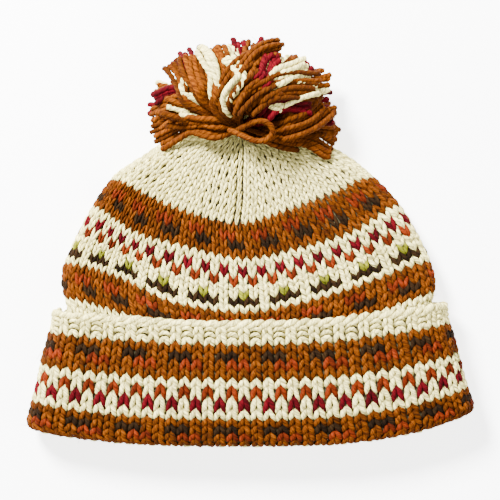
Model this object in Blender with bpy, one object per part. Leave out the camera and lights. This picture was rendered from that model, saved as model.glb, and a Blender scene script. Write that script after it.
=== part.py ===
"""Knitted bobble hat lying flat on its back, as a soft hat lies on a table.

Metres. +Z is up, +Y runs from the head opening to the crown, +X to the right of the hat's front.
The origin is on the table under the middle of the cuff's back.
"""

import math

import bmesh
import bpy
from mathutils import Vector

# The knitted fabric
WALL = 0.0045  # thickness of the stranded knitting
LAYER_GAP = 0.0008  # between the body and the cuff turned up over it
BODY_WIDTH = 0.208  # outside, across the widest row above the cuff
FOLD_WIDTH = 0.250  # outside, across the fold at the lower edge
HAT_HEIGHT = 0.176  # lower edge to crown top, without the pompom
CUFF_HEIGHT = 0.068  # lower edge to the cuff's top edge
CUFF_BACK = 0.036  # the origin's distance from the lower edge
EDGE_RADIUS = 0.008  # of the body's rounded side folds
FRONT_DOME = 0.006  # how far the front crowns up over the hollow
CUFF_FLARE = 0.0035  # how far the cuff's top edge stands off at the sides
FLARE_FRONT = 0.35  # the same at the front's middle, as a share of CUFF_FLARE
FLARE_POWER = 6  # by which the flare rises from the middle to the sides
CAST_ON_ROLL = 0.0006  # how far the cast-on edge stands proud of the cuff

# The gathered crown top, the tie through it and the pompom
GATHER_RADIUS = 0.0024  # of the hole that the crown's last stitches close round
FIT_GAP = 0.0004  # between pieces that touch on the real hat
TIE_RADIUS = 0.0019
KNOT_RADIUS = 0.0025
KNOT_DEPTH = 0.019  # from the crown's top to the knot's middle
CORE_WIDTH = 0.044  # the pompom's dense middle, along X
CORE_DEPTH = 0.022  # along Y
CORE_HEIGHT = 0.030  # along Z
LOCK_LENGTH = 0.044  # of a lock that points away from the crown
LOCK_SPREAD = 0.17  # how much longer a lock to the side is, as a share of LOCK_LENGTH
LOCK_RADIUS = 0.0058
TIP_SHARE = 0.72  # a lock's radius at its tip, as a share of LOCK_RADIUS

# Colours from the photo
CREAM = (0.83, 0.77, 0.60, 1.0)
OCHRE = (0.50, 0.20, 0.02, 1.0)
RUST = (0.42, 0.10, 0.02, 1.0)

# How finely the surfaces are divided
FLAT_COLUMNS = 18  # across the front, and as many across the back
EDGE_COLUMNS = 9  # round each side fold
ROWS_PER_SECTION = 2
FOLD_STEPS = 4  # in the arc of the fold
HEM_CORNER = 0.35  # where the hem's rounding has its two corners, as a share of the wall from its middle
SHARP_ANGLE = math.radians(50)
TIE_SIDES = 10
KNOT_RINGS = 8
CORE_SIDES = 16
CORE_RINGS = 10

# Sections of the body's outer surface, from the fold to the gathered top. Each is a curve across the hat:
# x is a share of the half width (of the fold for the cuff's rows, of the body above), y a share of the
# cuff's height, or above it of the rest of the hat's height. Bow is the power by which the curve rises
# from its middle to its ends. Radius and dome are shares of EDGE_RADIUS and FRONT_DOME, and lift is a
# share of the cuff's thickness that the back is held off the table.
CUFF_SECTIONS = [
    # name, left x, left y, mid x, mid y, right x, right y, bow, radius, dome, lift
    ("fold", -0.993, 0.200, 0.000, 0.075, 0.996, 0.330, 3.0, 0.85, 0.55, 1.0),
    ("cuff_low", -0.955, 0.425, 0.000, 0.305, 0.955, 0.510, 2.6, 0.95, 0.80, 1.0),
    ("cuff_middle", -0.910, 0.700, -0.004, 0.590, 0.905, 0.790, 2.2, 1.00, 1.00, 1.0),
]
BODY_SECTIONS = [
    ("hem", -0.975, 0.025, -0.011, -0.020, 0.970, 0.060, 2.0, 1.00, 1.00, 1.0),
    ("overhang", -1.007, 0.226, -0.021, 0.104, 0.992, 0.223, 1.8, 1.06, 0.95, 0.55),
    ("waist", -0.957, 0.388, -0.037, 0.211, 0.925, 0.408, 1.6, 1.06, 0.90, 0.15),
    ("band_bottom", -0.841, 0.605, -0.053, 0.333, 0.788, 0.629, 1.5, 1.04, 0.85, 0.0),
    ("band_top", -0.726, 0.759, -0.074, 0.498, 0.635, 0.776, 1.4, 1.02, 0.80, 0.0),
    ("crown_low", -0.582, 0.855, -0.063, 0.623, 0.529, 0.857, 1.4, 1.00, 0.75, 0.0),
    ("crown_middle", -0.444, 0.936, -0.056, 0.741, 0.402, 0.923, 1.4, 0.98, 0.65, 0.0),
    ("crown_high", -0.286, 0.982, -0.048, 0.857, 0.249, 0.972, 1.5, 0.94, 0.45, 0.0),
    ("gather", -0.106, 1.000, -0.037, 0.950, 0.037, 0.997, 2.0, 0.70, 0.10, 0.0),
]
NAMES = ("left_x", "left_y", "mid_x", "mid_y", "right_x", "right_y", "bow", "radius", "dome", "lift")

# Soft dents in the front: middle and half length as shares of BODY_WIDTH, angle in degrees from +X,
# half width and depth as shares of BODY_WIDTH and FRONT_DOME.
DENTS = [
    # x, share of the height, angle, half length, half width, depth
    (-0.317, 0.49, -55.0, 0.12, 0.045, 0.42),
    (0.330, 0.46, 38.0, 0.11, 0.050, 0.34),
    (-0.062, 0.83, 88.0, 0.20, 0.034, 0.26),
]

# Locks of the pompom in tiers: elevation of the first half of the lock above the table, the plan angles of
# the first and last lock in degrees from +X, how many, and their length as a share of LOCK_LENGTH.
LOCK_TIERS = [
    # elevation, first angle, last angle, count, length
    (2.0, 0.0, 180.0, 13, 1.00),
    (29.0, -10.0, 190.0, 12, 1.01),
    (54.0, -24.0, 204.0, 9, 0.99),
    (76.0, 20.0, 160.0, 3, 0.92),
]
LOCK_DROOP = 0.30  # how far a raised lock's tip sinks, as a share of its length
DROOP_POWER = 2.2  # by which it sinks more towards its tip
LOCK_WAVE = 0.05  # how unequal the locks' lengths are
WAVE_STEP = 2.4  # radians of that wave from one lock to the next
WAVE_TIER = 1.7  # radians of that wave from one tier to the next
LOCK_PHASE = 0.37  # radians from one lock to the next about their own axes: no two share a plane
RAISED = 30.0  # the elevation from which a tier starts at the middle of the core's height
LOCK_SIDES = 6
LOCK_STEPS = 5


def clear_scene():
    for obj in list(bpy.data.objects):
        bpy.data.objects.remove(obj, do_unlink=True)


def material(name, colour):
    made = bpy.data.materials.new(name)
    made.use_nodes = True
    shader = made.node_tree.nodes["Principled BSDF"]
    shader.inputs["Base Color"].default_value = colour
    shader.inputs["Roughness"].default_value = 0.95
    shader.inputs["Metallic"].default_value = 0.0
    return made


def add_object(name, points, faces, finish):
    mesh = bpy.data.meshes.new(name)
    mesh.from_pydata([tuple(p) for p in points], [], faces)
    mesh.materials.append(finish)
    mesh.shade_smooth()
    mesh.set_sharp_from_angle(angle=SHARP_ANGLE)
    obj = bpy.data.objects.new(name, mesh)
    bpy.context.scene.collection.objects.link(obj)
    return obj


def section_table():
    """The sections as dictionaries in metres, with y from the lower edge."""
    fold_half = FOLD_WIDTH / 2 - WALL - LAYER_GAP
    above = HAT_HEIGHT - CUFF_HEIGHT
    made = []
    for rows, half, base, span in (
        (CUFF_SECTIONS, fold_half, 0.0, CUFF_HEIGHT),
        (BODY_SECTIONS, BODY_WIDTH / 2, CUFF_HEIGHT, above),
    ):
        for row in rows:
            section = dict(zip(NAMES, row[1:]))
            for side in ("left", "mid", "right"):
                section[side + "_x"] *= half
                section[side + "_y"] = base + section[side + "_y"] * span
            section["radius"] *= EDGE_RADIUS
            section["dome"] *= FRONT_DOME
            section["lift"] *= WALL + LAYER_GAP
            made.append(section)
    made[-1]["radius"] = tie_height()
    return made


def tie_height():
    """The tie's height over the table, which leaves room for the knot over the crown's back."""
    return WALL + KNOT_RADIUS + FIT_GAP


def smooth_sections():
    """Catmull-Rom rows through the sections, so that the surface has no corner at a section."""
    table = section_table()
    rows = []
    for i in range(len(table) - 1):
        before, a = table[max(i - 1, 0)], table[i]
        b, after = table[i + 1], table[min(i + 2, len(table) - 1)]
        for step in range(ROWS_PER_SECTION):
            t = step / ROWS_PER_SECTION
            row = {}
            for key in a:
                bend = 2 * before[key] - 5 * a[key] + 4 * b[key] - after[key]
                twist = 3 * a[key] - before[key] - 3 * b[key] + after[key]
                slope = b[key] - before[key]
                row[key] = a[key] + 0.5 * t * (slope + t * (bend + t * twist))
            row["lift"] = min(max(row["lift"], 0.0), WALL + LAYER_GAP)
            rows.append(row)
    rows.append(table[-1])
    return rows


def columns():
    """(side, share across the flat, angle round the side fold, front) for each column, round the hat."""
    made = []
    for i in range(FLAT_COLUMNS + 1):
        made.append((2 * i / FLAT_COLUMNS - 1, 0.0, True))
    for i in range(1, EDGE_COLUMNS):
        made.append((1.0, math.pi * i / EDGE_COLUMNS, True))
    for i in range(FLAT_COLUMNS + 1):
        made.append((1 - 2 * i / FLAT_COLUMNS, 0.0, False))
    for i in range(1, EDGE_COLUMNS):
        made.append((-1.0, math.pi * (1 - i / EDGE_COLUMNS), True))
    return made


def dent_at(x, y):
    """How deep the front's dents are at a place, in metres."""
    depth = 0.0
    for dent_x, dent_y, angle, length, width, share in DENTS:
        dx, dy = x - dent_x * BODY_WIDTH, y - dent_y * HAT_HEIGHT
        turn = math.radians(angle)
        along = dx * math.cos(turn) + dy * math.sin(turn)
        across = dy * math.cos(turn) - dx * math.sin(turn)
        fall = (along / (length * BODY_WIDTH)) ** 2 + (across / (width * BODY_WIDTH)) ** 2
        depth += share * FRONT_DOME * math.exp(-fall)
    return depth


def body_point(row, column):
    """A point of the body's outer surface."""
    across, turn, front = column
    end = "right" if across > 0 else "left"
    half = abs(row[end + "_x"] - row["mid_x"])
    radius = min(row["radius"], half)
    reach = abs(across) * (half - radius) + radius * math.sin(turn)
    share = reach / half
    x = row["mid_x"] + math.copysign(reach, across)
    y = row["mid_y"] + (row[end + "_y"] - row["mid_y"]) * share ** row["bow"]
    rise = radius * math.cos(turn) if front else -radius
    z = row["lift"] + radius + rise
    if front:
        z += (row["dome"] - dent_at(x, y)) * max(0.0, 1 - share**2) * (0.5 + 0.5 * math.cos(turn))
    return Vector((x, y, z))


def grid_normals(grid):
    """Outward normals of a grid of points whose rows are closed round the hat."""
    made = []
    for j, row in enumerate(grid):
        lower, upper = grid[max(j - 1, 0)], grid[min(j + 1, len(grid) - 1)]
        count = len(row)
        line = []
        for i in range(count):
            round_hat = row[(i + 1) % count] - row[i - 1]
            up_hat = upper[i] - lower[i]
            line.append(round_hat.cross(up_hat).normalized())
        made.append(line)
    return made


def stand_off(column, share):
    """How far the cuff's top edge flares from the body: most at the sides, nothing under the back."""
    across, turn, front = column
    if not front:
        return 0.0
    if turn:
        return CUFF_FLARE * share**2 * (0.5 + 0.5 * math.cos(turn))
    return CUFF_FLARE * share**2 * (FLARE_FRONT + (1 - FLARE_FRONT) * across**FLARE_POWER)


def hem_roll(column):
    """How far the cast-on edge stands proud: only where nothing lies under it."""
    across, turn, front = column
    return CAST_ON_ROLL if front and turn < math.pi / 2 else 0.0


def shell_profile(i, grid, normals, hem, cols):
    """The closed line round the fabric at one column: body outside, slot, cuff, fold and body inside."""
    line = [row[i] for row in reversed(grid)]
    base, out = grid[0][i], normals[0][i]
    down = (grid[0][i] - grid[1][i]).normalized()
    down = (down - out * down.dot(out)).normalized()
    line.append(base + out * (LAYER_GAP / 2) + down * (LAYER_GAP / 2))
    for j in range(hem + 1):
        gap = LAYER_GAP + stand_off(cols[i], j / hem)
        line.append(grid[j][i] + normals[j][i] * gap)
    top, out = grid[hem][i], normals[hem][i]
    up = (grid[hem + 1][i] - grid[hem][i]).normalized()
    middle = LAYER_GAP + stand_off(cols[i], 1.0) + WALL / 2
    roll = hem_roll(cols[i])
    for step in (-HEM_CORNER, HEM_CORNER):
        rounding = math.sqrt(1 - step**2)
        line.append(top + out * (middle + step * WALL) + up * (rounding * WALL / 2 + roll))
    for j in range(hem, -1, -1):
        gap = LAYER_GAP + stand_off(cols[i], j / hem) + WALL + (roll if j == hem else 0.0)
        line.append(grid[j][i] + normals[j][i] * gap)
    out = normals[0][i]
    centre = base + out * (LAYER_GAP / 2)
    for step in range(1, FOLD_STEPS):
        turn = math.pi * step / FOLD_STEPS
        reach = WALL + LAYER_GAP / 2
        line.append(centre + out * (reach * math.cos(turn)) + down * (reach * math.sin(turn)))
    return line


def inner_rows(grid, normals):
    """The body's inner surface, up to the last row that leaves room between the layers.

    Under the last two sections it narrows straight to the gathered hole.
    """
    inner = []
    for j, row in enumerate(grid):
        heights = [p.z for p in row]
        if max(heights) - min(heights) < 2 * WALL + 2 * KNOT_RADIUS:
            break
        if j > len(grid) - 1 - 2 * ROWS_PER_SECTION:
            break
        inner.append([p - n * WALL for p, n in zip(row, normals[j])])
    return inner


def gather_ring(cols, centre, along):
    """The hole in the crown's top, one point for each column, in the order of the columns."""
    ring = []
    quarter = math.pi / 2
    for across, turn, front in cols:
        if turn:
            angle = math.copysign(quarter / 2 + turn / 2, across)
        else:
            angle = across * quarter / 2
            angle = angle if front else math.pi - angle
        ring.append(centre + Vector((math.sin(angle), 0, math.cos(angle))) * GATHER_RADIUS + along)
    return ring


def crown_top():
    """The middle of the gathered hole, on the crown's outline."""
    gather = section_table()[-1]
    return Vector((gather["mid_x"], gather["right_y"], gather["lift"] + gather["radius"]))


def make_knit_body(finish):
    rows = smooth_sections()
    cols = columns()
    grid = [[body_point(row, column) for column in cols] for row in rows]
    normals = grid_normals(grid)
    hem = len(CUFF_SECTIONS) * ROWS_PER_SECTION
    inner = inner_rows(grid, normals)
    top = crown_top()
    outer_ring = gather_ring(cols, top, Vector((0, FIT_GAP, 0)))
    inner_ring = gather_ring(cols, top, Vector((0, -WALL - 2 * FIT_GAP, 0)))
    profiles = []
    for i in range(len(cols)):
        line = [outer_ring[i]] + shell_profile(i, grid, normals, hem, cols)
        line += [row[i] for row in inner]
        line.append(inner_ring[i])
        profiles.append([Vector((p.x, p.y - CUFF_BACK, max(p.z, 0.0))) for p in line])
    count, length = len(profiles), len(profiles[0])
    points = [p for line in profiles for p in line]
    faces = []
    for i in range(count):
        k = (i + 1) % count
        for j in range(length):
            m = (j + 1) % length
            faces.append((i * length + j, i * length + m, k * length + m, k * length + j))
    return add_object("knit_body", points, faces, finish)


def tube_mesh(name, path, radii, sides, side, phase=0.0):
    """A capped tube along a path, with a radius for each point. Side is level and square to the path."""
    mesh = bmesh.new()
    rings = []
    for k, point in enumerate(path):
        ahead = (path[min(k + 1, len(path) - 1)] - path[max(k - 1, 0)]).normalized()
        rise = side.cross(ahead)
        ring = []
        for s in range(sides):
            turn = 2 * math.pi * s / sides + phase
            ring.append(mesh.verts.new(point + (side * math.cos(turn) + rise * math.sin(turn)) * radii[k]))
        rings.append(ring)
    for lower, upper in zip(rings, rings[1:]):
        for s in range(sides):
            t = (s + 1) % sides
            mesh.faces.new((lower[s], lower[t], upper[t], upper[s]))
    mesh.faces.new(list(reversed(rings[0])))
    mesh.faces.new(rings[-1])
    bmesh.ops.recalc_face_normals(mesh, faces=mesh.faces)
    made = bpy.data.meshes.new(name)
    mesh.to_mesh(made)
    mesh.free()
    obj = bpy.data.objects.new(name, made)
    bpy.context.scene.collection.objects.link(obj)
    return obj


def ball(name, centre, size, segments, rings):
    mesh = bmesh.new()
    bmesh.ops.create_uvsphere(mesh, u_segments=segments, v_segments=rings, radius=0.5)
    for vert in mesh.verts:
        vert.co = centre + Vector((vert.co.x * size[0], vert.co.y * size[1], vert.co.z * size[2]))
    made = bpy.data.meshes.new(name)
    mesh.to_mesh(made)
    mesh.free()
    obj = bpy.data.objects.new(name, made)
    bpy.context.scene.collection.objects.link(obj)
    return obj


def combine(base, other, operation):
    """Joins or cuts base with the other by a Boolean, applied at once, and removes the other."""
    joined = base.modifiers.new(operation.lower(), "BOOLEAN")
    joined.operation = operation
    joined.solver = "EXACT"
    joined.object = other
    graph = bpy.context.evaluated_depsgraph_get()
    fresh = bpy.data.meshes.new_from_object(base.evaluated_get(graph))
    base.modifiers.clear()
    base.data = fresh
    bpy.data.objects.remove(other, do_unlink=True)


def core_centre():
    """The middle of the pompom, which touches the crown's top and the table."""
    top = crown_top() - Vector((0, CUFF_BACK, 0))
    return Vector((top.x, top.y + 2 * FIT_GAP + CORE_DEPTH / 2, CORE_HEIGHT / 2))


def lock_start(elevation):
    """Where a tier's locks leave the core: beside the crown's top, higher for the raised tiers."""
    centre = core_centre()
    height = LOCK_RADIUS + (centre.z - LOCK_RADIUS) * min(1.0, elevation / RAISED)
    return Vector((centre.x, centre.y - CORE_DEPTH / 2 + LOCK_RADIUS, height))


def lock_path(start, elevation, angle, length):
    """A lock leaves the core at its elevation and droops towards its tip."""
    lift, turn = math.radians(elevation), math.radians(angle)
    ahead = Vector((math.cos(turn) * math.cos(lift), math.sin(turn) * math.cos(lift), math.sin(lift)))
    path = []
    for k in range(LOCK_STEPS + 1):
        share = k / LOCK_STEPS
        point = start + ahead * (length * share)
        point.z -= LOCK_DROOP * math.sin(lift) * length * share**DROOP_POWER
        path.append(point)
    return path


def make_pompom(finish):
    centre = core_centre()
    pompom = ball("pompom", centre, (CORE_WIDTH, CORE_DEPTH, CORE_HEIGHT), CORE_SIDES, CORE_RINGS)
    locks = []
    for tier, (elevation, first, last, count, share) in enumerate(LOCK_TIERS):
        for n in range(count):
            angle = first + (last - first) * n / (count - 1)
            wave = LOCK_WAVE * math.sin(WAVE_STEP * n + WAVE_TIER * tier)
            spread = 1 + LOCK_SPREAD * abs(math.cos(math.radians(angle)))
            length = LOCK_LENGTH * share * spread * (1 + wave)
            path = lock_path(lock_start(elevation), elevation, angle, length)
            radii = []
            for k, point in enumerate(path):
                taper = 1 - (1 - TIP_SHARE) * (k / LOCK_STEPS) ** 2
                radii.append(LOCK_RADIUS * taper)
                point.z = max(point.z, radii[-1])
            turn = math.radians(angle)
            side = Vector((-math.sin(turn), math.cos(turn), 0))
            phase = LOCK_PHASE * (len(locks) + 1)
            locks.append(tube_mesh(f"lock_{tier}_{n}", path, radii, LOCK_SIDES, side, phase))
    for lock in locks:
        combine(pompom, lock, "UNION")
    top = crown_top() - Vector((0, CUFF_BACK, 0))
    reach = [Vector((top.x, top.y - CORE_DEPTH / 2, top.z)), Vector((top.x, centre.y, top.z))]
    pocket = tube_mesh("pocket", reach, [TIE_RADIUS + FIT_GAP] * 2, TIE_SIDES, Vector((1, 0, 0)))
    combine(pompom, pocket, "DIFFERENCE")
    pompom.data.materials.clear()
    pompom.data.materials.append(finish)
    return pompom


def make_pompom_tie(finish):
    top = crown_top() - Vector((0, CUFF_BACK, 0))
    knot = Vector((top.x, top.y - KNOT_DEPTH, top.z))
    end = Vector((top.x, core_centre().y - FIT_GAP, top.z))
    tie = tube_mesh("pompom_tie", [knot, end], [TIE_RADIUS] * 2, TIE_SIDES, Vector((1, 0, 0)))
    lump = ball("knot", knot, [2 * KNOT_RADIUS] * 3, TIE_SIDES, KNOT_RINGS)
    combine(tie, lump, "UNION")
    tie.data.materials.clear()
    tie.data.materials.append(finish)
    return tie


def main():
    clear_scene()
    make_knit_body(material("cream_yarn", CREAM))
    make_pompom(material("ochre_yarn", OCHRE))
    make_pompom_tie(material("tie_yarn", RUST))


main()
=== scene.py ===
"""The knitted bobble hat's looks: its knitting stitch by stitch and its pompom strand by strand.

The sections and sizes repeat the model's own, so that each stitch lies on the surface of its solid.
"""

import math

import bpy
import numpy as np
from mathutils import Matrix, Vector


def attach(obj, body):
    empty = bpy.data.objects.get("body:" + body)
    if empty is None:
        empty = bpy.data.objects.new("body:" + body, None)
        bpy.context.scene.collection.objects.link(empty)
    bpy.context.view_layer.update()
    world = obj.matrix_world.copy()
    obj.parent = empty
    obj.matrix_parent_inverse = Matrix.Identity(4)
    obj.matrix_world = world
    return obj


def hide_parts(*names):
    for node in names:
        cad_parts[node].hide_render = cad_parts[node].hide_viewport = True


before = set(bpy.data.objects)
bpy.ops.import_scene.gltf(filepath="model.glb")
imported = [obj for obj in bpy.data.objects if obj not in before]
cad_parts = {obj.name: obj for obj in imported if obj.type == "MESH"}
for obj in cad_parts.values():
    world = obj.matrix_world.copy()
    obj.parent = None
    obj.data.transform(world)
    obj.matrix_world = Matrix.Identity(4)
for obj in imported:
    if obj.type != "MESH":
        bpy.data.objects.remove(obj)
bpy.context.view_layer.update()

# The fabric's sizes in metres, as in the solid model
WALL = 0.0045
LAYER_GAP = 0.0008
BODY_WIDTH = 0.208
FOLD_WIDTH = 0.250
HAT_HEIGHT = 0.176
CUFF_HEIGHT = 0.068
CUFF_BACK = 0.036
EDGE_RADIUS = 0.008
FRONT_DOME = 0.006
CUFF_FLARE = 0.0035
FLARE_FRONT = 0.35
GATHER_HEIGHT = 0.0074
FLARE_REACH = 1.08
FLARE_POWER = 6
FOLD_COLUMNS = 2.2  # columns round half a side fold

CUFF_SECTIONS = [
    # name, left x, left y, mid x, mid y, right x, right y, bow, radius, dome, lift
    ("fold", -0.993, 0.200, 0.000, 0.075, 0.996, 0.330, 3.0, 0.85, 0.55, 1.0),
    ("cuff_low", -0.955, 0.425, 0.000, 0.305, 0.955, 0.510, 2.6, 0.95, 0.80, 1.0),
    ("cuff_middle", -0.910, 0.700, -0.004, 0.590, 0.905, 0.790, 2.2, 1.00, 1.00, 1.0),
]
BODY_SECTIONS = [
    ("hem", -0.975, 0.025, -0.011, -0.020, 0.970, 0.060, 2.0, 1.00, 1.00, 1.0),
    ("overhang", -1.007, 0.226, -0.021, 0.104, 0.992, 0.223, 1.8, 1.06, 0.95, 0.55),
    ("waist", -0.957, 0.388, -0.037, 0.211, 0.925, 0.408, 1.6, 1.06, 0.90, 0.15),
    ("band_bottom", -0.841, 0.605, -0.053, 0.333, 0.788, 0.629, 1.5, 1.04, 0.85, 0.0),
    ("band_top", -0.726, 0.759, -0.074, 0.498, 0.635, 0.776, 1.4, 1.02, 0.80, 0.0),
    ("crown_low", -0.582, 0.855, -0.063, 0.623, 0.529, 0.857, 1.4, 1.00, 0.75, 0.0),
    ("crown_middle", -0.444, 0.936, -0.056, 0.741, 0.402, 0.923, 1.4, 0.98, 0.65, 0.0),
    ("crown_high", -0.286, 0.982, -0.048, 0.857, 0.249, 0.972, 1.5, 0.94, 0.45, 0.0),
    ("gather", -0.106, 1.000, -0.037, 0.950, 0.037, 0.997, 2.0, 0.70, 0.10, 0.0),
]
KEYS = ("left_x", "left_y", "mid_x", "mid_y", "right_x", "right_y", "bow", "radius", "dome", "lift")
HEM = float(len(CUFF_SECTIONS))

DENTS = [
    # x, share of the height, angle, half length, half width, depth
    (-0.317, 0.49, -55.0, 0.12, 0.045, 0.42),
    (0.330, 0.46, 38.0, 0.11, 0.050, 0.34),
    (-0.062, 0.83, 88.0, 0.20, 0.034, 0.26),
]

# Stitches round the hat, and how finely the surface between them is stored
COLUMNS = 80
HALF = COLUMNS // 2
COLUMN_STEPS = 8
ROW_STEPS = 4
CUFF_STEP = 1.1  # millimetres
FRONT_SIDES = 8
BACK_SIDES = 6
SECTION_STEPS = 24
FLAT_STEPS = 160  # across one side of the hat
FOLD_STEPS = 14  # round half a side fold, and round the whole lower fold
FIRST_ROW = -6
UNDER_CUFF = 0.12  # how far the body's stitches go on under the cuff, in sections
SKIN = 0.0010  # depth of the yarn's middle under the solid's surface
YARN_TALL = 0.00115  # half thickness of a stitch's leg
BACKING = 0.0019  # depth of the plain backing under the solid's surface
BACKING_TURNS = 8
BACKING_TOP = 9.0  # the section at which its inner side ends

# Row lines of the body in millimetres up from the lower edge, at shares of the width from the left.
# Row 0 is the second cream row below the lower band.
LINE_SHARES = (0.0, 0.15, 0.30, 0.50, 0.70, 0.85, 1.0)
ROW_LINES = [
    # row, then the height at each of the shares
    (0, 73.7, 64.9, 55.0, 49.5, 57.2, 66.0, 76.5),
    (2, 82.5, 74.3, 63.8, 57.8, 66.0, 74.8, 85.3),
    (6, 101.8, 94.0, 80.0, 74.8, 83.0, 93.2, 102.9),
    (13, 133.1, 118.3, 110.6, 103.7, 110.6, 119.4, 134.2),
    (17, 148.5, 138.0, 129.3, 123.2, 131.7, 140.0, 149.6),
    (22, 163.4, 155.0, 148.5, 144.1, 150.6, 156.8, 162.5),
    (27, 173.3, 170.2, 167.6, 165.6, 168.2, 170.2, 172.2),
    (31, 176.2, 175.8, 175.4, 175.2, 175.4, 175.6, 175.9),
]

# The photo's frame: its scale holds at the middle of the hat's height
MM_PER_PIXEL = 0.55
FRAME_PIXELS = 500
LOWER_EDGE_PIXEL = 447  # the hat's lower edge in the photo's frame
VIEW_MIDDLE = (LOWER_EDGE_PIXEL - FRAME_PIXELS / 2) * MM_PER_PIXEL * 0.001 - CUFF_BACK
CAMERA_HEIGHT = 1.0
SCALE_HEIGHT = 0.022
SENSOR = 36.0
FLOOR_SIZE = 4.0
FLOOR_HEIGHT = -0.0002
FLOOR_LOOK = {  # it glows, which makes the ground white and takes most of the shadow away
    "Roughness": 0.9, "Base Color": (0.93, 0.93, 0.93, 1), "Emission Color": (1, 1, 1, 1),
    "Emission Strength": 3.2,
}
WORLD_LIGHT = 1.1
LIGHT_TARGET = (0, 0.07, 0)
LIGHTS = [
    # name, place, size, power
    ("key", (-0.55, 0.85, 0.85), 0.4, 150.0),
    ("fill", (0.8, -0.4, 0.9), 1.0, 14.0),
]

# The charts, a pair for each row of knitting: the colours of four stitches and the row's height, in
# rows for the body and in millimetres for the cuff, which goes down from its rib to the fold.
# c cream, o ochre, d dark brown, r rust, k crimson, l lime.
BODY_CHART = [
    ("cccc", 1.0), ("cccc", 1.0),
    ("oooo", 1.0), ("oddo", 1.0), ("rroo", 1.0), ("oooo", 1.0),
    ("cccc", 0.78), ("cddd", 1.02), ("cclc", 0.98), ("cccc", 0.66),
    ("crcr", 1.30), ("kckc", 1.26), ("cccc", 1.00),
    ("oooo", 1.0), ("oddo", 1.0), ("rroo", 1.0), ("oooo", 1.0),
] + [("cccc", 1.0)] * 13
CUFF_CHART = [
    ("oooo", 4.2), ("ddoo", 4.3), ("orro", 4.7), ("oooo", 5.1),
    ("cccc", 4.0), ("crcr", 6.3), ("kckc", 6.4), ("cccc", 4.1),
    ("oooo", 3.9), ("ddoo", 4.1), ("orro", 3.8), ("oooo", 6.4),
]
ROPE_HEIGHT = 5.0
RIB_ROWS = 2
RIB_HEIGHT = 4.3
INSIDE_HEIGHT = 4.4
INSIDE_ROWS = 8
ROPE_RISE = 0.0045  # how far over the last row the rope-like edge begins
ROPE_SINK = 0.35  # and how far in, as a share of the wall
CUFF_FRONT = 38  # of the cuff's stitches, how many lie on the front
BODY_PHASE = 2
CUFF_PHASE = 0
BODY_SHIFT = 0.20  # where a stitch's middle lies between two column lines
CUFF_SHIFT = 0.25
FIRST_DECREASE = 17
SECTOR = 17  # stitches between two of the crown's four spines, before the first decrease
SPINE = (-1.0, 0.0, 1.0)  # a spine's three stitches, in stitches from its middle
SPINE_WIDTHS = (0.60, 1.0, 1.0)  # its first stitch is narrow, between two grooves
SPINE_AT = 20.4  # the front spine's middle, in columns from the left fold

# How far the body's columns are pushed aside, in columns: they are crowded beside the left crease
COLUMN_SHIFTS = [
    # column, shift
    (0, 0.9), (3, 0.5), (5, -0.2), (7, -0.6), (10, -1.1), (13, -0.75), (21, -0.6), (25, -0.45),
    (31, 0.0), (35, 0.5), (39, 1.0), (46, 0.0), (74, 0.0), (80, 0.9),
]
CUFF_SHIFTS = [
    # column, shift
    (0, 0.45), (6, 0.48), (10, 0.38), (14, 0.24), (18, 0.14), (24, 0.16), (28, 0.45), (32, 0.65),
    (34, 0.40), (36, 0.05), (38, 0.0), (74, 0.0), (80, 0.45),
]

# One leg of a stitch: places across and along it in stitches and rows, its height over the skin in
# millimetres, and its width
LEG = [
    # across, along, height, width
    (0.050, -0.44, -1.30, 0.42),
    (0.085, -0.24, -0.55, 0.74),
    (0.145, 0.04, 0.02, 0.96),
    (0.215, 0.34, 0.22, 1.04),
    (0.285, 0.64, 0.12, 1.02),
    (0.345, 0.94, -0.34, 0.84),
    (0.380, 1.18, -1.15, 0.46),
]
LEG_SHADE = (0.0, 0.30, 0.80, 1.0, 1.0, 0.75, 0.15)  # how far each place stands out of the painted shade that darkens a leg's ends, between the stitches
LEG_WIDE = 0.205  # half width of a leg as a share of its stitch
LEG_FLAT = 0.45  # how much of its thickness a leg keeps where it narrows
LEAN_ABOUT = 0.4  # the place along a leg about which it slants
# How uneven the legs are: slant and place in stitches and rows, height in metres, size as a share
LEG_LEAN, LEG_DRIFT, LEG_LIFT, LEG_SIZE = 0.036, 0.03, 0.00012, 0.05
PLY_LOBE = 0.12  # how much the two plies show in the yarn's outline
PLY_TWIST = 860.0  # radians to the metre
GROOVE = 0.44  # how dark the painted shade is in the groove between two plies
GROOVE_EDGE = 0.30  # where that line begins, from 0 at a ply's flank to 1 between two plies
GROOVE_FLOOR = -0.95  # where it is darkest, as the cosine of twice the angle round the yarn
FUZZ_SHARE = 0.012  # loose fibres for each point of a dyed yarn
FUZZ_LENGTH = (0.0012, 0.0036)
FUZZ_RADIUS = 0.00007
FUZZ_RINGS = 4
FUZZ_SIDES = 4
FUZZ_RISE = 0.6  # how far the fibres lean away from the table
FUZZ_CURL = 0.45
FIBRE_ALONG = 170.0  # how fast the fibres' pattern changes along the yarn, to the metre
SEED_REACH = 97.0  # how far apart the fibres' patterns of two yarns lie

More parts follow.
